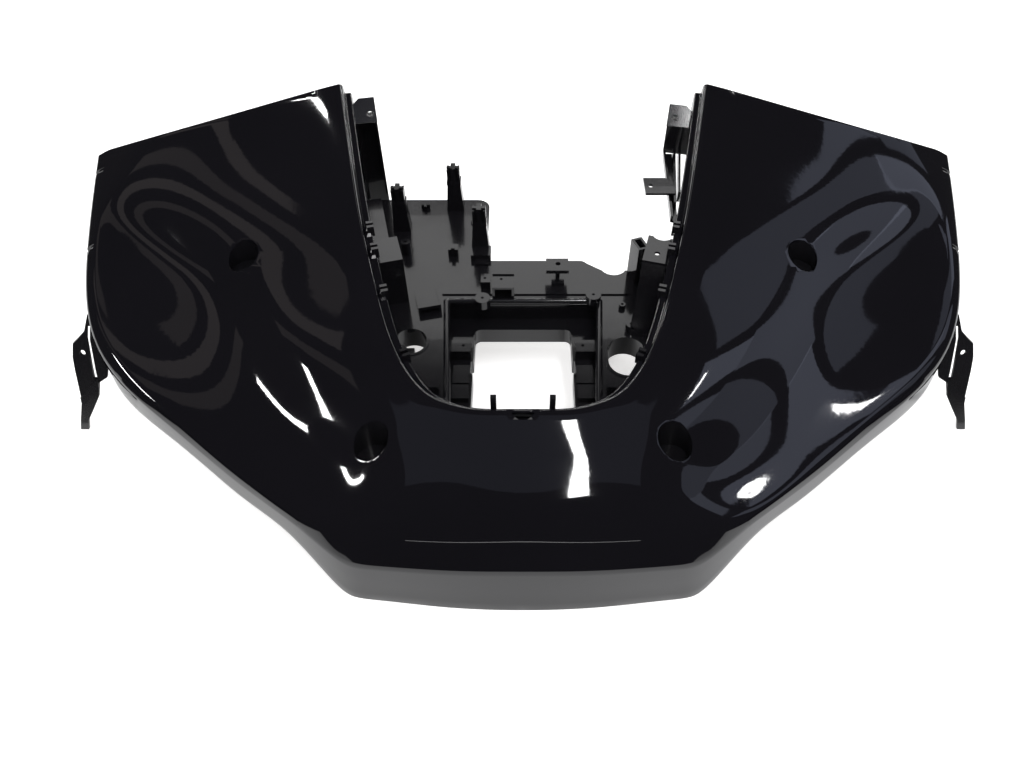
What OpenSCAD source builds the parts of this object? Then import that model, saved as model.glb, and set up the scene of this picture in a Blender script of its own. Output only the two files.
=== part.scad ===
// Front body panel of a quad bike, one gloss black injection moulding.
// Two wings stand round a U-shaped gap and join in a low nose. A walled carrier floor
// with a tray, posts and tabs is moulded into the gap. Lengths are in millimetres.
// The panel lies as it would on a bench: +Z up, nose towards -Y, floor at z = 0.

/* [Skin] */
// Width over the flanges of the two wings
span = 1128; // [1070:1:1190]
// Depth from the nose to the rear corners
depth = 598; // [570:1:630]
// Height of the rear inner corners of the wings
rear_h = 258; // [245:1:275]
// Thickness of the skin
wall = 3; // [2.5:0.1:4]
// Width of the gap between the rear inner corners
gap_w = 466; // [440:1:490]
// Height of the turned-down hem beside the nose
hem_h = 38; // [30:1:46]
// Radius of the rolled gap edge
edge_r = 5; // [4:0.5:7]
// Radius scale of the hem corner
hem_r = 7; // [5:0.5:9]

/* [Gap walls] */
// Width of the slotted ledge inside the gap edge
ledge_w = 9; // [7:0.5:12]
// Drop of the ledge below the gap edge
ledge_drop = 13; // [11:0.5:18]
// Top of the carrier floor above the ground
floor_z = 100; // [92:1:108]
// Thickness of the carrier floor
floor_t = 3; // [2.5:0.1:4]

/* [Rack wells] */
// Bore of the four wells that take the rack feet
well_d = 37; // [30:0.5:40]
// Depth of the two front wells
front_well_depth = 32; // [25:1:38]
// Depth of the two rear wells
rear_well_depth = 22; // [16:1:30]

/* [Tray] */
// Width of the tray inside its rails
tray_w = 188; // [176:1:196]
// Front of the tray from the panel's middle
tray_front = 122; // [112:1:128]
// Rear of the tray from the panel's middle
tray_rear = 60; // [50:1:66]
// Depth of the tray below the floor top
tray_depth = 30; // [24:1:40]
// Width of the tray opening
opening_w = 120; // [100:1:130]
// Rear of the tray opening from the panel's middle
opening_rear = 38; // [30:1:46]
// Depth of the rim round the tray opening
rim_h = 20; // [12:1:24]

/* [Fixings] */
// Diameter of the legs under the floor
leg_d = 22; // [18:1:26]
// Hole in the side brackets and the lower tabs
tab_hole_d = 6.5; // [5:0.5:8]
// Hole in the two rear tabs
rear_hole_d = 9; // [6:0.5:11]

/* [Hidden] */

// Sizes for which the rails below are drawn
drawn_span = 1128;
drawn_gap = 466;
drawn_depth = 598;
drawn_rise = 258;

function stretch(p, w) = [p[0] * w, p[1] * depth / drawn_depth, p[2] * rear_h / drawn_rise];
function lift_free(p, w) = [p[0] * w, p[1] * depth / drawn_depth, p[2]];
span_k = span / drawn_span;
gap_k = gap_w / drawn_gap;

// Rails of the right half, from the middle of the nose back to the rear edge.
// Each has one knot for each of ten stations along the wing.
gap_rail = [for (p = [
    [0, -154, 156], [48, -153, 156], [81, -144, 157], [100, -132, 158], [116, -114, 161],
    [133, -86, 167], [150, -45, 177], [171, 24, 194], [197, 126, 218], [233, 299, 258]
]) stretch(p, gap_k)];
shoulder_rail = [for (p = [
    [0, -202, 141], [57, -201, 141], [103, -195, 140], [132, -184, 140], [158, -163, 141],
    [199, -120, 146], [250, -49, 157], [314, 49, 173], [378, 146, 198], [369, 257, 240]
]) stretch(p, span_k)];
valley_rail = [for (p = [
    [0, -246, 120], [64, -243, 119], [122, -236, 117], [161, -223, 112], [195, -200, 108],
    [250, -152, 112], [325, -51, 130], [406, 61, 150], [487, 148, 176], [477, 244, 215]
]) stretch(p, span_k)];
edge_rail = [for (p = [
    [0, -272, 97], [73, -271, 97], [141, -264, 95], [187, -254, 92], [228, -242, 90],
    [302, -189, 92], [387, -122, 104], [482, -28, 127], [525, 109, 161], [545, 251, 192]
]) stretch(p, span_k)];
nose_bevel = [for (p = [
    [0, -293, 68], [73, -292, 68], [143, -286, 66], [183, -275, 64], [232, -243, 82]
]) stretch(p, span_k)];
nose_hem = [for (p = [
    [0, -299, 0], [78, -296, 0], [152, -288, 0], [192, -277, 6], [242, -238, 46]
]) lift_free(p, span_k)];

last = len(edge_rail) - 1;
nose_last = len(nose_hem) - 1;

function unit(v) = v / norm(v);
function mix(a, b, s) = a + (b - a) * s;
function mirrored(p) = [-p[0], p[1], p[2]];

// Smooth curve through the knots, with the mirrored knot before the first one
function before(k, i) = i == 0 ? mirrored(k[1]) : k[i - 1];
function after(k, i) = i + 2 > len(k) - 1 ? 2 * k[i + 1] - k[i] : k[i + 2];
function cubic(a, b, c, d, f) =
    b + f / 2 * (c - a + f * (2 * a - 5 * b + 4 * c - d + f * (3 * (b - c) + d - a)));
function on_rail(k, t) =
    t < 0 ? mirrored(on_rail(k, -t))
    : let (i = min(floor(t), len(k) - 2), f = t - i)
      cubic(before(k, i), k[i], k[i + 1], after(k, i), f);

// Level direction across a rail, away from the gap
function outward(k, t) =
    let (d = on_rail(k, min(t + 0.05, last)) - on_rail(k, t - 0.05))
    unit([d[1], -d[0], 0]);

// Behind the nose, the bevel and the hem hang from the edge rail: how far out the flange
// stands and how much deeper the hem is at each of these stations
flange = [3, 5, 9, 12, 17];
deeper = [0, 1, 22, 30, 10];
bevel_drop = 8;
function hang(i, out, drop) = edge_rail[i] + out * outward(edge_rail, i) - [0, 0, drop];
bevel_rail = concat(nose_bevel, [for (i = [nose_last + 1:last]) hang(i, flange[i - nose_last - 1], bevel_drop)]);
hem_rail = concat(nose_hem, [for (i = [nose_last + 1:last])
    let (k = i - nose_last - 1)
    hang(i, flange[k] + 2, hem_h + deeper[k])]);

// Foot of the gap wall: down to the floor, then up under the rear corners
wall_foot_z = floor_z - floor_t - 4;
left_wall_end = 8.8;
right_wall_end = 7.05;
shallow_wall = 46;
function foot_z(t, side, top) =
    let (end = side < 0 ? left_wall_end : right_wall_end)
    t <= end ? wall_foot_z : top - shallow_wall;

// Points down one section, from the wall foot over the skin to the hem
row_steps = 4;
function at_height(p, z) = [p[0], p[1], z];
function skin_point(t, s) =
    let (a = on_rail(gap_rail, t) + outward(gap_rail, t) * edge_r + [0, 0, 1],
        b = on_rail(shoulder_rail, t),
        c = on_rail(valley_rail, t),
        d = on_rail(edge_rail, t),
        i = min(floor(s), 2),
        f = s - i)
    i == 0 ? cubic(2 * a - b, a, b, c, f)
    : i == 1 ? cubic(a, b, c, d, f)
    : cubic(b, c, d, 2 * d - c, f);
function gap_side(t, side) =
    let (top = on_rail(gap_rail, t),
        inward = -outward(gap_rail, t),
        face = top + inward * ledge_w)
    [
        at_height(face, foot_z(t, side, top[2])),
        at_height(face, top[2] - ledge_drop),
        at_height(top + inward, top[2] - ledge_drop),
        at_height(top, top[2] - edge_r),
        top - inward * edge_r / 4 - [0, 0, edge_r / 4]
    ];
function corner(a, b, c, r) =
    let (p = b + unit(a - b) * r, q = b + unit(c - b) * r)
    [p, (p + 2 * b + q) / 4, q];
function hem_side(t) =
    let (d = on_rail(bevel_rail, t), e = on_rail(hem_rail, t), c = on_rail(edge_rail, t))
    concat(corner(skin_point(t, 2.9), c, d, min(hem_r, norm(d - c) * 0.7)), [d, at_height(e, max(e[2], 0))]);
function section(t, side) = concat(
    gap_side(t, side),
    [for (k = [0:3 * row_steps - 1]) skin_point(t, k / row_steps)],
    hem_side(t)
);

// The rear edge of each wing is rolled down
rear_roll = [[0, 3, -2], [0, 5, -7], [0, 6, -18]];
station_steps = 3;
half_steps = last * station_steps;
roll_steps = len(rear_roll);
function column(i) =
    let (side = i < 0 ? -1 : 1,
        n = abs(i),
        t = min(n, half_steps) / station_steps,
        shift = n > half_steps ? rear_roll[n - half_steps - 1] : [0, 0, 0])
    [for (p = section(t, side)) let (q = p + shift) [q[0] * side, q[1], q[2]]];
columns = [for (i = [-half_steps - roll_steps:half_steps + roll_steps]) column(i)];
all_y = [for (c = columns) for (p = c) p[1]];
settle_y = -(min(all_y) + max(all_y)) / 2;
last_col = len(columns) - 1;
last_row = len(columns[0]) - 1;

// Inner face of the skin, one wall in from the outer face
function normal(i, j) =
    let (along = columns[min(i + 1, last_col)][j] - columns[max(i - 1, 0)][j],
        across = columns[i][min(j + 1, last_row)] - columns[i][max(j - 1, 0)])
    unit(cross(across, along));
function inward_step(i, j) =
    let (n = normal(i, j))
    wall * (j < last_row ? n : unit([n[0], n[1], 0]));
inner = [for (i = [0:last_col]) [for (j = [0:last_row]) columns[i][j] - inward_step(i, j)]];

module skin() {
    rows = last_row + 1;
    total = (last_col + 1) * rows;
    function id(i, j) = i * rows + j;
    outer_faces = [for (i = [0:last_col - 1]) for (j = [0:last_row - 1]) each [
        [id(i, j), id(i + 1, j), id(i + 1, j + 1)],
        [id(i, j), id(i + 1, j + 1), id(i, j + 1)]
    ]];
    inner_faces = [for (f = outer_faces) [f[2] + total, f[1] + total, f[0] + total]];
    border = concat(
        [for (i = [0:last_col - 1]) id(i, 0)],
        [for (j = [0:last_row - 1]) id(last_col, j)],
        [for (i = [last_col:-1:1]) id(i, last_row)],
        [for (j = [last_row:-1:1]) id(0, j)]
    );
    border_faces = [for (k = [0:len(border) - 1])
        let (a = border[k], b = border[(k + 1) % len(border)])
        each [[b, a, a + total], [b, a + total, b + total]]];
    polyhedron(
        points = concat([for (c = columns) each c], [for (c = inner) each c]),
        faces = concat(outer_faces, inner_faces, border_faces)
    );
}

// Rack wells: a plain cup under the skin, open at the top, for a foot of the rack
front_well = [3.62, 1.18];
rear_well = [7.1, 1.05];
function skin_normal(t, s) =
    unit(cross(skin_point(t, s + 0.1) - skin_point(t, s - 0.1), skin_point(t + 0.1, s) - skin_point(t - 0.1, s)));
module at_wells() {
    for (w = [[front_well, front_well_depth], [rear_well, rear_well_depth]]) for (side = [-1, 1]) {
        p = skin_point(w[0][0], w[0][1]);
        n = skin_normal(w[0][0], w[0][1]);
        $sunk = w[1];
        $lean = [0, acos(n[2]), atan2(n[1], n[0] * side)];
        translate([p[0] * side, p[1], p[2]]) children();
    }
}
module well_cup() {
    trim = 4 * well_d;
    difference() {
        translate([0, 0, -$sunk - wall]) cylinder(d = well_d + 2 * wall, h = $sunk + well_d, $fn = 40);
        rotate($lean) translate([-trim / 2, -trim / 2, -wall / 2]) cube(trim);
    }
}
module well_bore() {
    translate([0, 0, -$sunk]) cylinder(d = well_d, h = $sunk + well_d, $fn = 40);
}

// Carrier floor between the gap walls, cut to its stepped rear outline
function arc(c, r, from, to, n) =
    [for (k = [0:n]) c + r * [cos(mix(from, to, k / n)), sin(mix(from, to, k / n))]];
floor_end = 8.86;
floor_left_rear = 269;
floor_step_x = -47;
floor_step_y = 137;
floor_notch = [117, 126];
floor_notch_r = 17;
floor_right_x = 82;
floor_right_rear = 118;
function gap_line(t, side) =
    let (p = on_rail(gap_rail, t) - outward(gap_rail, t) * (ledge_w - wall / 2))
    [p[0] * side, p[1]];
module floor_outline() {
    far = span;
    polygon(concat(
        [[-far, -far], [far, -far], [far, floor_right_rear]],
        arc(floor_notch, floor_notch_r, -28, -152, 8),
        arc([floor_right_x - 8, floor_step_y - 10], 10, 30, 90, 4),
        [[floor_step_x, floor_step_y]],
        arc([floor_step_x - 17, floor_left_rear - 17], 17, 0, 90, 6),
        [[-far, floor_left_rear]]
    ));
}
module carrier_floor() {
    line_steps = 30;
    line = [for (k = [0:line_steps]) k / line_steps * floor_end];
    intersection() {
        translate([0, 0, floor_z - floor_t]) linear_extrude(floor_t) polygon(concat(
            [for (t = line) gap_line(t, 1)],
            [for (k = [len(line) - 1:-1:1]) gap_line(line[k], -1)]
        ));
        translate([0, 0, floor_z - 2 * floor_t]) linear_extrude(3 * floor_t) floor_outline();
    }
}

// Frame on the face of a gap wall: -X points into the gap and +Y along the wall to the rear
module at_wall(t, side) {
    d = outward(gap_rail, t);
    p = on_rail(gap_rail, t) - d * ledge_w;
    translate([p[0] * side, p[1], 0]) mirror([side < 0 ? 1 : 0, 0, 0]) rotate(atan2(d[1], d[0])) children();
}
function wall_x(y) = lookup(y, [for (k = gap_rail) [k[1], k[0] - ledge_w]]);
foot = floor_z - floor_t + 1;
sunk = 1;

// Upright plate between two points of the plan
module rib(a, b, z, thick, h) {
    translate([a[0], a[1], z]) rotate(atan2(b[1] - a[1], b[0] - a[0]))
        translate([0, -thick / 2, 0]) cube([norm(b - a), thick, h]);
}
module block(x, y, z) {
    translate([x[0], y[0], z[0]]) cube([x[1] - x[0], y[1] - y[0], z[1] - z[0]]);
}
module drill(p, d, deep) {
    translate([p[0], p[1], p[2] - deep]) cylinder(d = d, h = 2 * deep, $fn = 20);
}

// Tray: a tapered well in the floor with rails, a ledge and a rimmed opening
rail_r = 4;
tray_taper = 12;
ledge_z = floor_z - tray_depth;
opening_front = 104;
opening_lip = 2;
side_bulge = [3, -36, -14];
module rail_bar(a, b) {
    d = b - a;
    translate(a) rotate([0, acos(d[2] / norm(d)), atan2(d[1], d[0])]) cylinder(r = rail_r, h = norm(d), $fn = 16);
}
module rounded_box(x, y0, y1, z0, z1, r) {
    translate([0, 0, z0]) linear_extrude(z1 - z0) {
        translate([r - x, y0]) square([2 * (x - r), y1 - y0]);
        translate([-x, y0 + r]) square([2 * x, y1 - y0 - 2 * r]);
        for (cx = [r - x, x - r]) for (cy = [y0 + r, y1 - r]) translate([cx, cy]) circle(r, $fn = 24);
    }
}
module tray_plan(grow) {
    rear = tray_w / 2 + grow;
    polygon([
        [-rear, tray_rear + grow], [rear, tray_rear + grow],
        [rear - tray_taper, -tray_front - grow], [tray_taper - rear, -tray_front - grow]
    ]);
}
module opening_shape(grow, z0, z1) {
    rounded_box(opening_w / 2 + grow, -opening_front - grow, opening_rear + grow, z0, z1, 8 + grow / 2);
    rounded_box(opening_w / 2 + side_bulge[0] + grow, side_bulge[1] - grow, side_bulge[2] + grow, z0, z1, 4);
}
module tray_body() {
    translate([0, 0, ledge_z - wall]) linear_extrude(tray_depth + wall) tray_plan(wall);
    opening_shape(wall, ledge_z - rim_h, ledge_z);
}
module tray_space() {
    difference() {
        translate([0, 0, ledge_z]) linear_extrude(tray_depth + wall) tray_plan(0);
        opening_shape(wall / 2, ledge_z - 1, ledge_z + opening_lip);
    }
    opening_shape(0, ledge_z - rim_h - 1, floor_z);
}
module tray_trim() {
    x = tray_w / 2 + 1;
    y = tray_rear + 1;
    z = floor_z - 1;
    rail_bar([-x, y, z], [x, y, z]);
    for (side = [-1, 1]) {
        rail_bar([side * x, y, z], [side * (x - tray_taper), -tray_front, z]);
        side_steps(side);
    }
}
// Each step beside the opening: width, rear edge, depth and height above the ledge
steps = [[29, 8, 19, 15], [20, -25, 28, 6], [27, -57, 21, 8]];
step_hole_d = 3.5;
module side_steps(side) {
    mirror([side < 0 ? 1 : 0, 0, 0]) difference() {
        for (k = steps) {
            inner_x = opening_w / 2 + wall;
            block([inner_x, inner_x + k[0]], [k[1] - k[2], k[1]], [ledge_z - sunk, ledge_z + k[3]]);
        }
        drill([opening_w / 2 + 12, steps[0][1] - 9, ledge_z + steps[0][3]], step_hole_d, 6);
    }
}

// Raised lip behind the tray
lip_y = 13;
lip_h = 2;
module floor_lip() {
    block([-tray_w / 2 - 7, tray_w / 2 + 38], [tray_rear + lip_y - wall / 2, tray_rear + lip_y + wall / 2],
        [foot, floor_z + lip_h]);
}

// Screw bosses: place, diameter and height above the floor
boss_hole_d = 3.5;
tray_bosses = [[-50, 56, 19, 10], [87, 62, 19, 10]];
floor_bosses = [[-153, 152, 12, 20], [122, 49, 8, 6], [129, 11, 13, 10]];
module screw_boss(p) {
    difference() {
        translate([p[0], p[1], foot]) cylinder(d = p[2], h = p[3] + floor_z - foot, $fn = 24);
        drill([p[0], p[1], floor_z + p[3]], boss_hole_d, min(p[3] - 2, 8));
    }
}

// Posts with a flared foot, fluted sides and a cross-shaped head
post_w = 13;
post_h = 66;
head_h = 20;
flute = 1.6;
posts = [[-94, 252], [-56, 163], [-164, 206]];
module post(p) {
    neck = post_h - head_h;
    foot_half = post_w * 0.7;
    neck_half = post_w * 0.42;
    arm = post_w * 0.3;
    translate([p[0], p[1], floor_z - sunk]) {
        difference() {
            rotate([90, 0, 0]) translate([0, 0, -post_w / 2]) linear_extrude(post_w) polygon([
                [-foot_half, 0], [foot_half, 0], [post_w / 2, 7], [neck_half, neck],
                [-neck_half, neck], [-post_w / 2, 7]
            ]);
            for (x = [-1, 0, 1]) translate([x * 3.4 - flute / 2, -post_w, 10]) cube([flute, post_w, neck - 14]);
        }
        translate([-neck_half, -arm / 2, neck - sunk]) cube([2 * neck_half, arm, head_h + sunk]);
        translate([-arm / 2, -neck_half, neck - sunk]) cube([arm, 2 * neck_half, head_h + sunk]);
        translate([-post_w / 2, -post_w / 2 - 2, neck - 4]) cube([post_w, 4, 4]);
    }
}
// Stepped foot in front of the middle post, and the hook on its side
module middle_post_foot() {
    x = posts[1][0];
    y = posts[1][1];
    block([x - 12, x + 14], [y - 26, y - 6], [foot, floor_z + 9]);
    block([x - 6, x + 11], [y - 36, y - 26], [foot, floor_z + 3]);
    block([x - 11, x - 3], [y - 3, y + 3], [floor_z + 40, floor_z + 46]);
}

// Ribbed legs that carry the floor from below
legs = [[-150, 232], [-72, 232], [112, 78]];
module leg_body(p) {
    reach = leg_d * 0.9;
    translate([p[0], p[1], 0]) cylinder(d = leg_d, h = floor_z - floor_t / 2, $fn = 32);
    for (a = [0, 90]) translate([p[0], p[1], floor_z / 2]) rotate(a)
        translate([-reach, -wall / 2, 0]) cube([2 * reach, wall, (floor_z - floor_t) / 2]);
}

// Box channel on a gap wall, open towards the nose or towards the rear
module channel(w, l, z0, z1, open_front) {
    difference() {
        translate([-w, 0, z0]) cube([w + wall / 2, l, z1 - z0]);
        translate([wall - w, open_front ? -wall : wall, z0 - 1]) cube([w - 1.5 * wall, l, z1 - z0 - wall + 1]);
    }
}

// Flat tab with one hole, its outer rear corner cut off, tilted about its front edge
module tab(w, l, z, tilt, hole, hole_d) {
    cut = 8;
    translate([0, 0, z - wall]) rotate([tilt, 0, 0]) difference() {
        linear_extrude(wall) polygon([[-w, 0], [wall / 2, 0], [wall / 2, l - cut], [-cut, l], [-w, l]]);
        drill([hole[0], hole[1], wall / 2], hole_d, wall);
    }
}
rear_t = 8.84;
rear_tab_size = [28, 33];
rear_tab_tilt = 38;
rear_tab_hole = [-20, 11];
left_rear_z = 219;
right_rear_z = 213;
right_rear_h = 42;
left_rear_l = 22;
tab_overhang = 0.6;
left_rear_skirt = 18;
// Shelf and lower channel: width off the wall, length along it, height above the floor
shelf = [19, 92, 50];
lower_channel = [29, 26, 68];
lower_tab_l = 44;
lower_tab_hole = [-15, 16];
junction = [28, 32, 13];
junction_place = [-127, 36, 14];
module left_housings() {
    at_wall(rear_t, -1) {
        channel(rear_tab_size[0] - tab_overhang, left_rear_l, foot - left_rear_skirt, left_rear_z, true);
        tab(rear_tab_size[0], rear_tab_size[1], left_rear_z, rear_tab_tilt, rear_tab_hole, rear_hole_d);
    }
    // Long shelf on the wall, then the lower tab on its own channel
    at_wall(7.86, -1) channel(shelf[0], shelf[1], foot, floor_z + shelf[2], false);
    at_wall(7.3, -1) {
        z = floor_z + lower_channel[2];
        channel(lower_channel[0], lower_channel[1], foot, z, false);
        tab(lower_channel[0], lower_tab_l, z, 0, lower_tab_hole, tab_hole_d);
    }
    // Tilted junction box beside the left port, with a tray on top and a slot in front
    translate([junction_place[0], junction_place[1], foot]) rotate(junction_place[2]) difference() {
        cube(junction);
        translate([wall / 2, wall, junction[2] - 2]) cube([junction[0] - wall, junction[1], wall]);
        translate([wall, -1, wall]) cube([junction[0] - 2 * wall, 8, 5]);
    }
}
// Deep channel, its notched top and sloping side, and the square tube next to it
deep_channel = [29, 46.5, 80];
deep_notch = [-13, 54, 13];
deep_hole = [-14, 16];
slope = [[0, 80], [0, 74], [42, 0], [46, 0]];
tube = [14, 22, 57];
tube_place = [141, 92, 20];
tube_floor = 10;
module right_housings() {
    low = right_rear_z - right_rear_h;
    far = wall_x(268);
    near = wall_x(126);
    at_wall(rear_t, 1) {
        channel(rear_tab_size[0] + 2 - tab_overhang, 24, low, right_rear_z, false);
        tab(rear_tab_size[0] + 2, rear_tab_size[1] - 4, right_rear_z, rear_tab_tilt, rear_tab_hole, rear_hole_d);
    }
    // Beam and braces that run back from the wall to the rear housing
    translate([0, 0, low]) linear_extrude(wall) polygon([
        [far - 29, 270], [far - 17, 270], [near + 1, 122], [near - 7, 126]
    ]);
    rib([near - 6, 126], [far - 28, 270], low, wall, 9);
    rib([near, 148], [far - 15, 270], low - 4, wall, 17.5);
    rib([near + 8, 170], [far - 8, 270], low - 2, wall, 15.2);
    // Small tab that stands off the beam
    translate([near - 1, 164, low]) cube([wall, 32, 15]);
    translate([near + 1, 164, 0]) tab(36, 33, low + 15, 0, [-28, 16], tab_hole_d);
    at_wall(7.12, 1) {
        top = floor_z + deep_channel[2];
        difference() {
            channel(deep_channel[0], deep_channel[1], foot, top, false);
            translate([deep_notch[0], deep_notch[1], floor_z]) cylinder(r = deep_notch[2], h = top, $fn = 32);
            drill([deep_hole[0], deep_hole[1], top], tab_hole_d, 2 * wall);
        }
        translate([sunk, sunk, foot]) rotate([90, 0, -90]) linear_extrude(deep_channel[0] + sunk - tab_overhang) polygon(slope);
    }
    translate([tube_place[0], tube_place[1], foot]) rotate(tube_place[2]) difference() {
        cube(tube);
        translate([wall, wall, tube_floor]) cube([tube[0] - 2 * wall, tube[1] - 2 * wall, tube[2]]);
    }
}

// Small tabs and clips that stand on the floor
module floor_fittings() {
    for (p = concat(tray_bosses, floor_bosses)) screw_boss(p);
    // Cross clip, box clip and the two front clips
    block([-142, -130], [248, 252], [foot, floor_z + 7]);
    block([-138, -134], [244, 256], [foot, floor_z + 7]);
    block([-98, -85], [146, 158], [foot, floor_z + 11]);
    block([-94, -89], [144, 150], [foot, floor_z + 15]);
    for (side = [-1, 1]) block([side * 98 - 5, side * 98 + 5], [-92, -82], [foot, floor_z + 14]);
    // Two screw boxes and the flat-topped stand
    difference() {
        union() {
            block([-53, -41], [82, 98], [foot, floor_z + 12]);
            block([-38, -11], [63, 86], [foot, floor_z + 20]);
            block([-38, -11], [86, 88], [foot, floor_z + 22]);
        }
        block([-38 + wall, -11 - wall], [60, 74], [floor_z, floor_z + 20 - wall]);
        drill([-48, 90, floor_z + 12], boss_hole_d, 8);
        drill([-27, 79, floor_z + 20], boss_hole_d, 8);
    }
    difference() {
        union() {
            block([29, 57], [89, 112], [floor_z + 20, floor_z + 25]);
            block([41, 46], [92, 112], [foot, floor_z + 22]);
            block([36, 52], [88, 96], [foot, floor_z + 5]);
        }
        drill([44, 102, floor_z + 25], tab_hole_d, 4);
    }
    // Pins on the ledge at the nose
    for (x = [-33, 27]) block([x, x + 6], [gap_rail[0][1] + 4, gap_rail[0][1] + 9], [126, 165]);
}

// Snap hooks on the ledge: stations, and the size of one of a pair
snaps = [5, 6.62, 7.3, 7.62];
snap = [8, 4, 13];
module snap_pairs() {
    for (t = snaps) for (side = [-1, 1]) at_wall(t, side) for (y = [-6, 2])
        translate([-3, y, on_rail(gap_rail, t)[2] - ledge_drop - 6]) cube(snap);
}

// Collared ports through the floor beside the tray: place, radius and extra length
port_collar = 28;
ports = [[-133, -8, 19, 2], [121, -25, 22, 16]];
module port(p, grow, z, h) {
    r = p[2] + grow;
    translate([p[0], p[1], z]) {
        for (y = [0, -p[3]]) translate([0, y, 0]) cylinder(r = r, h = h, $fn = 36);
        translate([-r, -p[3], 0]) cube([2 * r, p[3], h]);
    }
}
module port_collars() {
    for (p = ports) port(p, wall, floor_z - port_collar, port_collar + 1);
}
module port_holes() {
    for (p = ports) port(p, 0, floor_z - port_collar - 1, port_collar + 3);
}
module port_steps() {
    x = ports[0][0];
    y = ports[0][1];
    block([x - 20, x + 4], [y - 18, y - 4], [floor_z - port_collar, floor_z - 8]);
    block([x - 22, x - 4], [y - 16, y - 10], [floor_z - port_collar, floor_z + 4]);
}

// Slots through the ledge of the gap walls
slot_w = 5;
ledge_slots = [[8.62, 8.83], [7.7, 8.06]];
module ledge_slot(from, to) {
    a = on_rail(gap_rail, from) - outward(gap_rail, from) * ledge_w * 0.45;
    b = on_rail(gap_rail, to) - outward(gap_rail, to) * ledge_w * 0.45;
    translate([a[0], a[1], a[2] - ledge_drop - 2 * wall])
        rotate(atan2(b[1] - a[1], b[0] - a[0]))
        translate([0, -slot_w / 2, 0]) cube([norm(b - a), slot_w, 4 * wall + b[2] - a[2]]);
}

// Thumb notch in the gap edge at the middle of the nose, with a floor under it
notch_w = 30;
notch_r = 34;
notch_deep = 5;
notch_back = 14;
module nose_notch_floor() {
    y = gap_rail[0][1];
    block([-notch_w / 2 - 2, notch_w / 2 + 2], [y - notch_back - 2, y + 2], [gap_rail[0][2] - 16, gap_rail[0][2] - notch_deep]);
}
module nose_notch() {
    y = gap_rail[0][1];
    translate([0, y + 6, gap_rail[0][2] + notch_r - notch_deep]) rotate([90, 0, 0])
        cylinder(r = notch_r, h = notch_back + 6, $fn = 64);
}

// Notches across the outer flange of the wings, by their distance behind the middle
flange_notches = [94, 216];
flange_gap = 6;
module flange_cuts() {
    for (y = flange_notches) {
        x = lookup(y, [for (k = edge_rail) [k[1], k[0]]]);
        block([x + 3, x + 40], [y, y + flange_gap], [0, rear_h]);
    }
}

// Side brackets: a bent blade with a slit, cut to its outline, down to the ground
bracket_t = 4;
bracket_y = 20;
bracket_z = 124;
bracket_path = [[0, 0], [-28, -22], [-48, -54], [-64, -84], [-80, -116], [-86, -130]];
bracket_outline = [
    [500, 128], [517, 120], [520, 108], [534, 98], [537, 84], [537, 36], [544, 12], [547, 0],
    [537, 0], [534, 12], [527, 22], [515, 40], [511, 56], [500, 62], [498, 70], [502, 86], [505, 102]
];
bracket_slit = [[512, 60], [516, 60], [516, 112], [513, 112]];
bracket_hole = [524, 88];
bracket_rib = [[511, 62], [537, 40], [537, 30], [512, 50]];
module bent_sheet(thick) {
    n = len(bracket_path);
    back = [for (k = [n - 1:-1:0]) bracket_path[k] + [thick, 1]];
    translate([470 * span_k, bracket_y, bracket_z]) rotate([90, 0, 90]) linear_extrude(90)
        polygon(concat(bracket_path, back));
}
module facing(points) {
    rotate([90, 0, 0]) translate([0, 0, -200]) linear_extrude(400)
        polygon([for (p = points) [p[0] * span_k, p[1]]]);
}
module bracket() {
    intersection() {
        bent_sheet(bracket_t);
        difference() {
            facing(bracket_outline);
            facing(bracket_slit);
            translate([bracket_hole[0] * span_k, 0, bracket_hole[1]]) rotate([90, 0, 0]) translate([0, 0, -100])
                cylinder(d = tab_hole_d, h = 200, $fn = 20);
        }
    }
    intersection() {
        translate([0, -2, 0]) bent_sheet(bracket_t);
        facing(bracket_rib);
    }
}

module front_body_panel() color("#0b0a10") translate([0, settle_y, 0]) {
    difference() {
        union() {
            skin();
            nose_notch_floor();
            at_wells() well_cup();
            carrier_floor();
            tray_body();
            port_collars();
            for (p = legs) leg_body(p);
        }
        at_wells() well_bore();
        tray_space();
        port_holes();
        nose_notch();
        for (side = [0, 1]) mirror([side, 0, 0]) {
            for (k = ledge_slots) ledge_slot(k[0], k[1]);
            flange_cuts();
        }
    }
    tray_trim();
    floor_lip();
    port_steps();
    left_housings();
    right_housings();
    floor_fittings();
    snap_pairs();
    for (p = posts) post(p);
    middle_post_foot();
    for (side = [0, 1]) mirror([side, 0, 0]) bracket();
}

front_body_panel();
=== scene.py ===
# Front body panel of a quad bike: the gloss black skin and the satin carrier moulded into its gap.
# The skin is drawn from the same rails as the CAD part, with far more rows, so that its gloss runs
# smooth. The carrier is a copy of the CAD solid without its skin, with stouter posts and rounded
# edges.
import bpy
import math
from mathutils import Matrix, Vector
from mathutils.bvhtree import BVHTree


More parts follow.
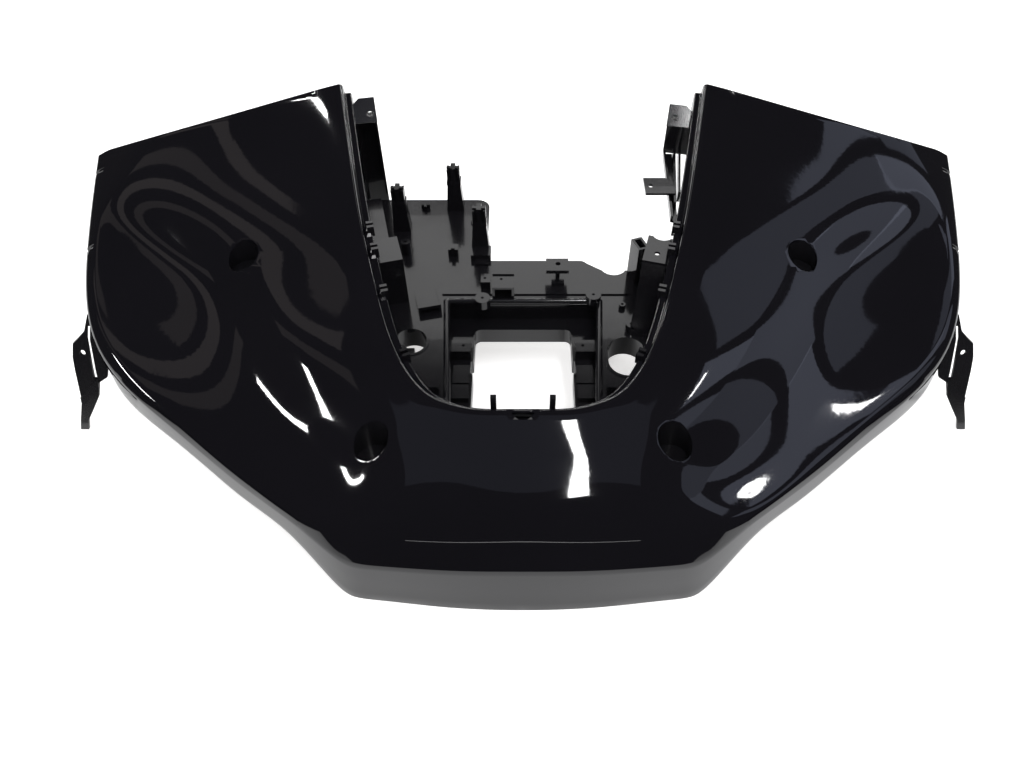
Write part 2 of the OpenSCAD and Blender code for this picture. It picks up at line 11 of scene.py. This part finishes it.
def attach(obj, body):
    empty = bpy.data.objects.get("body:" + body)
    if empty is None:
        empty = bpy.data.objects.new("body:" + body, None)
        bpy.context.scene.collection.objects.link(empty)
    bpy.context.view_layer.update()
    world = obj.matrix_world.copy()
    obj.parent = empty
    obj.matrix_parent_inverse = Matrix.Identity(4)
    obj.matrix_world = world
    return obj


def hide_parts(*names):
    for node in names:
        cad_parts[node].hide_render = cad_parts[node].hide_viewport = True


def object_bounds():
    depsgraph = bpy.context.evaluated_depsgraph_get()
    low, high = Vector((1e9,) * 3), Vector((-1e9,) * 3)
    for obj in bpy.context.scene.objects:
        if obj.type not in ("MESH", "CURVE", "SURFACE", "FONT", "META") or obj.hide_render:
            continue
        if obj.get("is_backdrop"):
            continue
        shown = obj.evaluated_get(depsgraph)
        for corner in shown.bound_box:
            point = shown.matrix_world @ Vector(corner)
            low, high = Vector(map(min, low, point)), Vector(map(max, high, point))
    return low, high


MM = 0.001
NODE = "front_body_panel"

# Rails of the right half in millimetres, from the middle of the nose to the rear edge
GAP_RAIL = [
    (0, -154, 156), (48, -153, 156), (81, -144, 157), (100, -132, 158), (116, -114, 161),
    (133, -86, 167), (150, -45, 177), (171, 24, 194), (197, 126, 218), (233, 299, 258),
]
SHOULDER_RAIL = [
    (0, -202, 141), (57, -201, 141), (103, -195, 140), (132, -184, 140), (158, -163, 141),
    (199, -120, 146), (250, -49, 157), (314, 49, 173), (378, 146, 198), (369, 257, 240),
]
VALLEY_RAIL = [
    (0, -246, 120), (64, -243, 119), (122, -236, 117), (161, -223, 112), (195, -200, 108),
    (250, -152, 112), (325, -51, 130), (406, 61, 150), (487, 148, 176), (477, 244, 215),
]
EDGE_RAIL = [
    (0, -272, 97), (73, -271, 97), (141, -264, 95), (187, -254, 92), (228, -242, 90),
    (302, -189, 92), (387, -122, 104), (482, -28, 127), (525, 109, 161), (545, 251, 192),
]
NOSE_BEVEL = [(0, -293, 68), (73, -292, 68), (143, -286, 66), (183, -275, 64), (232, -243, 82)]
NOSE_HEM = [(0, -299, 0), (78, -296, 0), (152, -288, 0), (192, -277, 6), (242, -238, 46)]
# How far the whole panel is moved to centre it, and the thickness of the skin
SETTLE_Y = -3.91
WALL = 3
# Behind the nose, at each knot: how far the bevel stands out, and how much deeper the hem hangs
FLANGE = [3, 5, 9, 12, 17]
BEVEL_DROP = 8
HEM_OUT = 2
HEM_H = 38
DEEPER = [0, 1, 22, 30, 10]
# Rounding of the gap edge, the crease and the hem, then the ledge in the gap wall
EDGE_R = 5
HEM_R = 7
BEVEL_R = 4
LEDGE_W = 9
LEDGE_DROP = 13
LEDGE_R = 1.5
# Foot of the gap wall, the stations where it ends, and its depth behind them
WALL_FOOT = 93
LEFT_WALL_END = 8.8
RIGHT_WALL_END = 7.05
SHALLOW_WALL = 46
# The rear edge rolls down in three steps: backwards and upwards
REAR_ROLL = [(3, -2), (5, -7), (6, -18)]
# Stations run along the rails and rows run from the gap to the crease
LAST = len(EDGE_RAIL) - 1
NEARLY_LAST = LAST - 0.05
STATION_STEPS = 14
SLOPE_STEP = 0.03
SKIN_START = 0.12
SKIN_END = 2.9
SKIN_ROWS = 44

# Notches through the flange, by their distance behind the middle, and the thumb notch
FLANGE_NOTCHES = [94, 216]
FLANGE_GAP = 6
FLANGE_CUT = (3, 40)
ABOVE_ALL = 260
NOTCH_R = 34
NOTCH_DEEP = 5

# Rack wells: their bore, and the place of each on the skin (station, row)
WELL_D = 37
WELL_CUT = 80
FRONT_WELL = (3.62, 1.18)
REAR_WELL = (7.1, 1.05)

# Posts on the carrier floor, drawn stouter than in the CAD: places, then each part's height
# range above the floor, its half widths at the foot and at the top, and its shift sideways
FLOOR_Z = 100
POSTS = [(-94, 252), (-56, 163), (-164, 206)]
POST_PARTS = [
    (-1, 45, (12, 8.5), (8.5, 7.2), 0),
    (42, 46, (9.4, 8), (9.4, 8), 0),
    (45, 66, (8.6, 2), (8.6, 2), 0),
    (45, 67, (3, 6.8), (3, 6.8), 0),
    (45, 64, (1.3, 6), (1.3, 6), -7.2),
    (45, 64, (1.3, 6), (1.3, 6), 7.2),
]

# Finish: bevel widths in millimetres, and the angle in degrees up to which faces shade smooth
RIM_BEVEL = 1.0
RIM_ANGLE = 50
EDGE_BEVEL = 0.8
EDGE_ANGLE = 40
SMOOTH_ANGLE = 35
# A CAD face within this distance of the skin, and this parallel to it, is the skin's own
NEAR = 2.2
PARALLEL = 0.85
MERGE = 0.02
FLAT_ANGLE = 1.0

# Camera: the photograph's place and pitch, with focal length and sideways shift in pixels
CAMERA_PLACE = (0, -0.6449, 0.760)
CAMERA_PITCH = 49.4
IMAGE_W = 1024
FOCAL_PX = 770
SHIFT_PX = -11
SENSOR_W = 36
FLOOR_W = 14
FLOOR_DROP = 0.0005

# Light: how far the floor is lifted to white, the even light, and the room seen in the gloss
FLOOR_LIFT = 0.55
SKY_LIGHT = 0.9
ROOM_LIGHT = 0.03
WHITE = (1, 1, 1)
COOL = (0.72, 0.78, 1)
WARM = (1, 0.9, 0.87)
# Lamps: name, place, what it faces, width, height, turn in degrees, brightness, colour
LAMPS = [
    ("left_strip", (-1.93, -0.16, 1.51), (-0.25, -0.13, 0.12), 0.53, 0.06, -23, 45, WHITE),
    ("nose_strip", (0.335, -0.68, 2.0), (0.335, -0.68, 0), 0.12, 1.08, 11, 32, WHITE),
    ("corner_lamp", (-1.02, 1.46, 2.08), (-0.262, 0.276, 0.253), 0.13, 0.05, -60, 40, WHITE),
    ("right_strip", (1.48, 0.14, 1.99), (0.229, -0.225, 0.095), 0.02, 0.14, 66, 30, WHITE),
    ("rear_softbox", (0, 2.3, 2.05), (0, 0.1, 0.12), 2.6, 0.62, 0, 1, WHITE),
    ("rear_line", (0, 2.3, 1.15), (0, 0.1, 0.12), 2.6, 0.06, 0, 28, WHITE),
    ("ceiling", (0, -0.45, 2.5), (0, -0.45, 0), 2.6, 1.5, 0, 0.12, COOL),
    ("front_line", (0, -2.6, 0.95), (0, -0.28, 0.1), 2.0, 0.04, 0, 3, WHITE),
]
# Window panes on the right and curtain folds on the left, seen dimly in the wings
PANE_ROWS = (1.55, 2.5)
PANE_COLUMNS = (-0.25, 0.3, 0.85, 1.4)
FOLD_COLUMNS = (0.45, 0.8, 1.1, 1.5, 1.8)
for row, z in enumerate(PANE_ROWS):
    for column, y in enumerate(PANE_COLUMNS):
        shine = 0.35 + 0.2 * ((row + column) % 3)
        LAMPS.append((f"pane_{row}{column}", (2.2, y, z), (0.3, 0, 0.15), 0.38, 0.7, 0, shine, COOL))
for column, y in enumerate(FOLD_COLUMNS):
    shine = 0.14 + 0.07 * (column % 2)
    LAMPS.append((f"fold_{column}", (-2.3, y, 2.5), (-0.3, 0, 0.15), 0.14, 1.1, 0, shine, WARM))


def mirrored(p):
    return Vector((-p[0], p[1], p[2]))


class Rail:
    """A smooth curve with even curvature through the knots of both halves."""

    def __init__(self, knots):
        right = [Vector(p) for p in knots]
        self.points = [mirrored(p) for p in reversed(right[1:])] + right
        self.bends = self.solve()

    def solve(self):
        n = len(self.points)
        bends = [Vector((0, 0, 0)) for _ in range(n)]
        ratio = [0.0] * n
        part = [Vector((0, 0, 0)) for _ in range(n)]
        for i in range(1, n - 1):
            push = 6 * (self.points[i + 1] - 2 * self.points[i] + self.points[i - 1])
            base = 4 - ratio[i - 1]
            ratio[i] = 1 / base
            part[i] = (push - part[i - 1]) / base
        for i in range(n - 2, 0, -1):
            bends[i] = part[i] - ratio[i] * bends[i + 1]
        return bends

    def at(self, t):
        u = t + LAST
        i = min(max(int(math.floor(u)), 0), len(self.points) - 2)
        f = u - i
        g = 1 - f
        a, b = self.points[i], self.points[i + 1]
        ba, bb = self.bends[i], self.bends[i + 1]
        return g * a + f * b + ((g ** 3 - g) * ba + (f ** 3 - f) * bb) / 6


def outward(rail, t):
    """The level direction away from the gap, square to the rail."""
    d = rail.at(t + SLOPE_STEP) - rail.at(t - SLOPE_STEP)
    return Vector((d.y, -d.x, 0)).normalized()


gap = Rail(GAP_RAIL)
shoulder = Rail(SHOULDER_RAIL)
valley = Rail(VALLEY_RAIL)
edge = Rail(EDGE_RAIL)


def hang(i, out, drop):
    """A knot of the bevel or hem rail behind the nose: it hangs from the edge rail."""
    p = edge.at(i) + out * outward(edge, min(i, NEARLY_LAST))
    return (p.x, p.y, p.z - drop)


behind_nose = list(enumerate(range(len(NOSE_BEVEL), LAST + 1)))
bevel = Rail(NOSE_BEVEL + [hang(i, FLANGE[k], BEVEL_DROP) for k, i in behind_nose])
hem = Rail(NOSE_HEM + [hang(i, FLANGE[k] + HEM_OUT, HEM_H + DEEPER[k]) for k, i in behind_nose])


def edge_x(y):
    """How far out the crease stands at a distance behind the middle, in straight steps."""
    for a, b in zip(EDGE_RAIL, EDGE_RAIL[1:]):
        if a[1] <= y <= b[1] and b[1] > a[1]:
            return a[0] + (b[0] - a[0]) * (y - a[1]) / (b[1] - a[1])
    return EDGE_RAIL[-1][0]


def cubic(a, b, c, d, f):
    """The smooth curve from b to c whose slopes follow the neighbours a and d."""
    bend = 2 * a - 5 * b + 4 * c - d + f * (3 * (b - c) + d - a)
    return b + f / 2 * (c - a + f * bend)


def skin_point(t, s):
    """A point of the outer skin: s runs from 0 at the gap to 3 at the outer edge."""
    a = gap.at(t) + outward(gap, t) * EDGE_R + Vector((0, 0, 1))
    b, c, d = shoulder.at(t), valley.at(t), edge.at(t)
    i = min(int(s), 2)
    f = s - i
    if i == 0:
        return cubic(2 * a - b, a, b, c, f)
    if i == 1:
        return cubic(a, b, c, d, f)
    return cubic(b, c, d, 2 * d - c, f)


def rounded(a, b, c, r, steps):
    """The corner a-b-c with its point rounded off."""
    p = b + (a - b).normalized() * r
    q = b + (c - b).normalized() * r
    parts = [n / steps for n in range(steps + 1)]
    return [(1 - k) ** 2 * p + 2 * k * (1 - k) * b + k * k * q for k in parts]


def lift(p, z):
    return Vector((p.x, p.y, z))


def section(t, side):
    """One section across the skin, from the foot of the gap wall to the foot of the hem."""
    top = gap.at(t)
    inward = -outward(gap, t)
    face = top + inward * LEDGE_W
    wall_end = LEFT_WALL_END if side < 0 else RIGHT_WALL_END
    foot = WALL_FOOT if abs(t) <= wall_end else top.z - SHALLOW_WALL
    ledge_z = top.z - LEDGE_DROP
    points = [lift(face, foot), lift(face, (foot + ledge_z) / 2)]
    points += rounded(lift(face, ledge_z - 8), lift(face, ledge_z), lift(top, ledge_z), LEDGE_R, 3)
    corner = lift(top + inward, ledge_z)
    points += rounded(lift(face, ledge_z), corner, lift(top, top.z - EDGE_R), LEDGE_R, 3)
    start = skin_point(t, SKIN_START)
    points += rounded(lift(top, ledge_z), lift(top, top.z + 1), start, EDGE_R * 1.3, 7)
    for k in range(1, SKIN_ROWS):
        points.append(skin_point(t, SKIN_START + (SKIN_END - SKIN_START) * k / SKIN_ROWS))
    c, d, e = edge.at(t), bevel.at(t), hem.at(t)
    e = lift(e, max(e.z, 0))
    r = min(HEM_R, (d - c).length * 0.7)
    points += rounded(skin_point(t, SKIN_END), c, d, r, 6)
    points += rounded(c, d, e, min(BEVEL_R, (e - d).length * 0.3), 4)
    points += [d + (e - d) * k for k in (0.5, 0.8, 1)]
    return points


def skin_columns():
    """All sections from the left rear edge round the nose to the right rear edge."""
    half = LAST * STATION_STEPS
    columns = []
    for i in range(-half, half + 1):
        t = i / STATION_STEPS
        side = -1 if i < 0 else 1
        columns.append(section(t, side))
    rolls = [Vector((0, dy, dz)) for dy, dz in REAR_ROLL]
    right_roll = [[p + roll for p in columns[-1]] for roll in rolls]
    left_roll = [[p + roll for p in columns[0]] for roll in reversed(rolls)]
    return left_roll + columns + right_roll


def deselect():
    for o in bpy.context.selected_objects:
        o.select_set(False)


def activate(obj):
    deselect()
    obj.select_set(True)
    bpy.context.view_layer.objects.active = obj


def apply(obj, kind, name, **values):
    """Put a modifier on the piece and apply it."""
    activate(obj)
    m = obj.modifiers.new(name, kind)
    for key, value in values.items():
        setattr(m, key, value)
    bpy.ops.object.modifier_apply(modifier=name)


def grid_on(name, columns):
    """A grid primitive whose rows and columns are laid on the given points."""
    n, m = len(columns), len(columns[0])
    deselect()
    bpy.ops.mesh.primitive_grid_add(x_subdivisions=n - 1, y_subdivisions=m - 1, size=1)
    obj = bpy.context.object
    obj.name = name
    obj.data.name = name
    for v in obj.data.vertices:
        i = round((v.co.x + 0.5) * (n - 1))
        j = round((v.co.y + 0.5) * (m - 1))
        p = columns[i][j]
        v.co = Vector((p.x, p.y + SETTLE_Y, p.z)) * MM
    return obj


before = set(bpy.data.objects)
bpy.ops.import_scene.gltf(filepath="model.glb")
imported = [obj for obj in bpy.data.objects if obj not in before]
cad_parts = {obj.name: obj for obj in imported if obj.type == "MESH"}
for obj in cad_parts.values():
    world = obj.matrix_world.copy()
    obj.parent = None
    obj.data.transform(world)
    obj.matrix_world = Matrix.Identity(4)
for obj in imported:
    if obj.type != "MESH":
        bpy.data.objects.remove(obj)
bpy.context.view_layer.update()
cad_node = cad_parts[NODE]

skin = grid_on("gloss_skin", skin_columns())
activate(skin)
bpy.ops.object.mode_set(mode="EDIT")
bpy.ops.mesh.select_all(action="SELECT")
bpy.ops.mesh.flip_normals()
bpy.ops.object.mode_set(mode="OBJECT")


def smooth(obj, degrees):
    activate(obj)
    bpy.ops.object.shade_smooth_by_angle(angle=math.radians(degrees))


def well_axis(well, side):
    p = skin_point(*well)
    return Vector((p.x * side, p.y + SETTLE_Y, p.z)) * MM


def cut(obj, cutter):
    apply(obj, "BOOLEAN", "cut", object=cutter, operation="DIFFERENCE", solver="EXACT")
    bpy.data.objects.remove(cutter)


apply(skin, "SOLIDIFY", "wall", thickness=WALL * MM, offset=-1)
for well in (FRONT_WELL, REAR_WELL):
    for side in (-1, 1):
        deselect()
        bpy.ops.mesh.primitive_cylinder_add(
            vertices=96, radius=WELL_D / 2 * MM, depth=WELL_CUT * MM, location=well_axis(well, side))
        cut(skin, bpy.context.object)


def box_cutter(x, y, z):
    """A cutting box between two corners, in millimetres from the panel's middle."""
    deselect()
    middle = Vector(((x[0] + x[1]) / 2, (y[0] + y[1]) / 2 + SETTLE_Y, (z[0] + z[1]) / 2)) * MM
    bpy.ops.mesh.primitive_cube_add(size=1, location=middle)
    cutter = bpy.context.object
    cutter.scale = Vector((x[1] - x[0], y[1] - y[0], z[1] - z[0])) * MM
    return cutter


# Two notches through each flange, and the thumb notch in the gap edge
for y in FLANGE_NOTCHES:
    near, far = [edge_x(y) + step for step in FLANGE_CUT]
    for side in (-1, 1):
        across = sorted((side * near, side * far))
        cut(skin, box_cutter(across, (y, y + FLANGE_GAP), (0, ABOVE_ALL)))
top = gap.at(0)
deselect()
bpy.ops.mesh.primitive_cylinder_add(
    vertices=160, radius=NOTCH_R * MM, depth=20 * MM, rotation=(math.radians(90), 0, 0),
    location=Vector((0, top.y - 4 + SETTLE_Y, top.z + NOTCH_R - NOTCH_DEEP)) * MM)
cut(skin, bpy.context.object)
apply(skin, "BEVEL", "rims", width=RIM_BEVEL * MM, segments=3, limit_method="ANGLE",
      angle_limit=math.radians(RIM_ANGLE))
smooth(skin, SMOOTH_ANGLE)

# The carrier: a copy of the CAD solid, with the faces that the skin stands for taken off
skin_tree = BVHTree.FromPolygons(
    [v.co for v in skin.data.vertices], [p.vertices for p in skin.data.polygons])
carrier = cad_node.copy()
carrier.data = cad_node.data.copy()
carrier.name = "carrier"
for key in list(carrier.keys()):
    del carrier[key]
carrier.parent = None
bpy.context.scene.collection.objects.link(carrier)
activate(carrier)
bpy.ops.object.mode_set(mode="EDIT")
bpy.ops.mesh.select_all(action="SELECT")
bpy.ops.mesh.remove_doubles(threshold=MERGE * MM)
bpy.ops.mesh.select_all(action="DESELECT")
bpy.ops.object.mode_set(mode="OBJECT")
near = NEAR * MM
for p in carrier.data.polygons:
    _, normal, _, distance = skin_tree.find_nearest(p.center)
    corners = [skin_tree.find_nearest(carrier.data.vertices[i].co)[3] for i in p.vertices]
    if distance < near and max(corners) < near and abs(normal.dot(p.normal)) > PARALLEL:
        p.select = True
bpy.ops.object.mode_set(mode="EDIT")
bpy.ops.mesh.delete(type="FACE")
bpy.ops.mesh.select_all(action="SELECT")
bpy.ops.mesh.delete_loose(use_verts=True, use_edges=True, use_faces=False)
bpy.ops.mesh.select_all(action="SELECT")
bpy.ops.mesh.dissolve_limited(angle_limit=math.radians(FLAT_ANGLE))
bpy.ops.object.mode_set(mode="OBJECT")


def tapered_block(place, low, high, foot, top):
    """A four-sided block between two heights above the carrier floor."""
    deselect()
    bpy.ops.mesh.primitive_cube_add(size=2)
    block = bpy.context.object
    for v in block.data.vertices:
        half, z = (foot, low) if v.co.z < 0 else (top, high)
        x, y = place[0] + v.co.x * half[0], place[1] + v.co.y * half[1]
        v.co = Vector((x, y + SETTLE_Y, FLOOR_Z + z)) * MM
    return block


blocks = []
for x, y in POSTS:
    for low, high, foot, top, shift in POST_PARTS:
        blocks.append(tapered_block((x + shift, y), low, high, foot, top))
activate(carrier)
for block in blocks:
    block.select_set(True)
bpy.ops.object.join()
apply(carrier, "BEVEL", "edges", width=EDGE_BEVEL * MM, segments=2, limit_method="ANGLE",
      angle_limit=math.radians(EDGE_ANGLE))
smooth(carrier, SMOOTH_ANGLE)
apply(carrier, "WEIGHTED_NORMAL", "flats", weight=100, keep_sharp=True)


def noise(tree, scale, detail):
    """A noise pattern on the piece's own coordinates."""
    place = tree.nodes.new("ShaderNodeTexCoord")
    pattern = tree.nodes.new("ShaderNodeTexNoise")
    pattern.inputs["Scale"].default_value = scale
    pattern.inputs["Detail"].default_value = detail
    tree.links.new(place.outputs["Object"], pattern.inputs["Vector"])
    return pattern.outputs["Fac"]


def spread(tree, value, low, high):
    """The pattern's middle range laid between two levels."""
    ranged = tree.nodes.new("ShaderNodeMapRange")
    ranged.inputs["From Min"].default_value = 0.3
    ranged.inputs["From Max"].default_value = 0.7
    ranged.inputs["To Min"].default_value = low
    ranged.inputs["To Max"].default_value = high
    tree.links.new(value, ranged.inputs["Value"])
    return ranged.outputs["Result"]


def bump(tree, value, distance, under=None):
    """Relief of a given depth in metres, laid over the relief under it."""
    relief = tree.nodes.new("ShaderNodeBump")
    relief.inputs["Distance"].default_value = distance
    tree.links.new(value, relief.inputs["Height"])
    if under:
        tree.links.new(under, relief.inputs["Normal"])
    return relief.outputs["Normal"]


def moulded_plastic(name, dark, light, roughness, coat, reliefs):
    """Black plastic: colour and gloss vary a little, with waves and grain in the surface."""
    material = bpy.data.materials.new(name)
    material.use_nodes = True
    tree = material.node_tree
    base = tree.nodes["Principled BSDF"]
    base.inputs["IOR"].default_value = 1.6
    base.inputs["Coat Weight"].default_value = coat
    base.inputs["Coat Roughness"].default_value = 0.02
    base.inputs["Coat IOR"].default_value = 1.6
    blend = tree.nodes.new("ShaderNodeMix")
    blend.data_type = "RGBA"
    blend.inputs["A"].default_value = (*dark, 1)
    blend.inputs["B"].default_value = (*light, 1)
    tree.links.new(noise(tree, 6, 3), blend.inputs["Factor"])
    tree.links.new(blend.outputs["Result"], base.inputs["Base Color"])
    tree.links.new(spread(tree, noise(tree, 11, 3), *roughness), base.inputs["Roughness"])
    normal = None
    for scale, depth in reliefs:
        normal = bump(tree, noise(tree, scale, 1), depth, normal)
    tree.links.new(normal, base.inputs["Normal"])
    return material


gloss = moulded_plastic("gloss_black", (0.003, 0.0028, 0.004), (0.0048, 0.0044, 0.0062),
                        (0.02, 0.05), 0.2, ((9, 0.00028), (150, 0.000012)))
satin = moulded_plastic("satin_black", (0.004, 0.004, 0.005), (0.008, 0.0075, 0.009),
                        (0.13, 0.2), 0.4, ((24, 0.0002), (700, 0.00002)))
skin.data.materials.append(gloss)
carrier.data.materials.clear()
carrier.data.materials.append(satin)

for piece in (skin, carrier):
    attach(piece, "root")
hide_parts(NODE)


# Floor: white paper that keeps the panel's shadow
deselect()
bpy.ops.mesh.primitive_plane_add(size=FLOOR_W, location=(0, 0, -FLOOR_DROP))
floor = bpy.context.object
floor.name = "floor"
paper = bpy.data.materials.new("floor_white")
paper.use_nodes = True
paper_base = paper.node_tree.nodes["Principled BSDF"]
paper_base.inputs["Base Color"].default_value = (0.9, 0.9, 0.9, 1)
paper_base.inputs["Roughness"].default_value = 0.9
paper_base.inputs["Emission Color"].default_value = (1, 0.985, 0.97, 1)
floor_path = paper.node_tree.nodes.new("ShaderNodeLightPath")
lifted = paper.node_tree.nodes.new("ShaderNodeMath")
lifted.operation = "MULTIPLY"
lifted.inputs[1].default_value = FLOOR_LIFT
paper.node_tree.links.new(floor_path.outputs["Is Camera Ray"], lifted.inputs[0])
paper.node_tree.links.new(lifted.outputs["Value"], paper_base.inputs["Emission Strength"])
floor.data.materials.append(paper)
floor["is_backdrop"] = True

# Camera, at the photograph's height and pitch
camera_data = bpy.data.cameras.new("camera")
camera = bpy.data.objects.new("camera", camera_data)
bpy.context.scene.collection.objects.link(camera)
camera.location = CAMERA_PLACE
camera.rotation_euler = (math.radians(90 - CAMERA_PITCH), 0, 0)
camera_data.sensor_width = SENSOR_W
camera_data.lens = SENSOR_W * FOCAL_PX / IMAGE_W
camera_data.shift_x = SHIFT_PX / IMAGE_W
bpy.context.scene.camera = camera

# World: white behind the panel, even light on it, and a dim room in its gloss
world = bpy.context.scene.world or bpy.data.worlds.new("world")
bpy.context.scene.world = world
world.use_nodes = True
sky = world.node_tree
sky_path = sky.nodes.new("ShaderNodeLightPath")
room = sky.nodes.new("ShaderNodeMapRange")
room.inputs["To Min"].default_value = SKY_LIGHT
room.inputs["To Max"].default_value = ROOM_LIGHT
sky.links.new(sky_path.outputs["Is Glossy Ray"], room.inputs["Value"])
level = sky.nodes.new("ShaderNodeMix")
level.inputs["B"].default_value = 1
sky.links.new(sky_path.outputs["Is Camera Ray"], level.inputs["Factor"])
sky.links.new(room.outputs["Result"], level.inputs["A"])
sky.nodes["Background"].inputs["Color"].default_value = (1, 1, 1, 1)
sky.links.new(level.outputs["Result"], sky.nodes["Background"].inputs["Strength"])


def softbox(name, place, aim, width, height, roll, radiance, colour):
    """A rectangular lamp whose face has the given brightness."""
    data = bpy.data.lights.new(name, "AREA")
    data.shape = "RECTANGLE"
    data.size = width
    data.size_y = height
    data.energy = radiance * math.pi * width * height
    data.color = colour
    lamp = bpy.data.objects.new(name, data)
    lamp.location = place
    facing = (Vector(aim) - Vector(place)).to_track_quat("-Z", "Y").to_matrix()
    lamp.rotation_euler = (facing @ Matrix.Rotation(math.radians(roll), 3, "Z")).to_euler()
    lamp.visible_camera = False
    bpy.context.scene.collection.objects.link(lamp)


for lamp in LAMPS:
    softbox(*lamp)

bpy.context.scene.view_settings.view_transform = "Standard"
low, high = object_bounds()
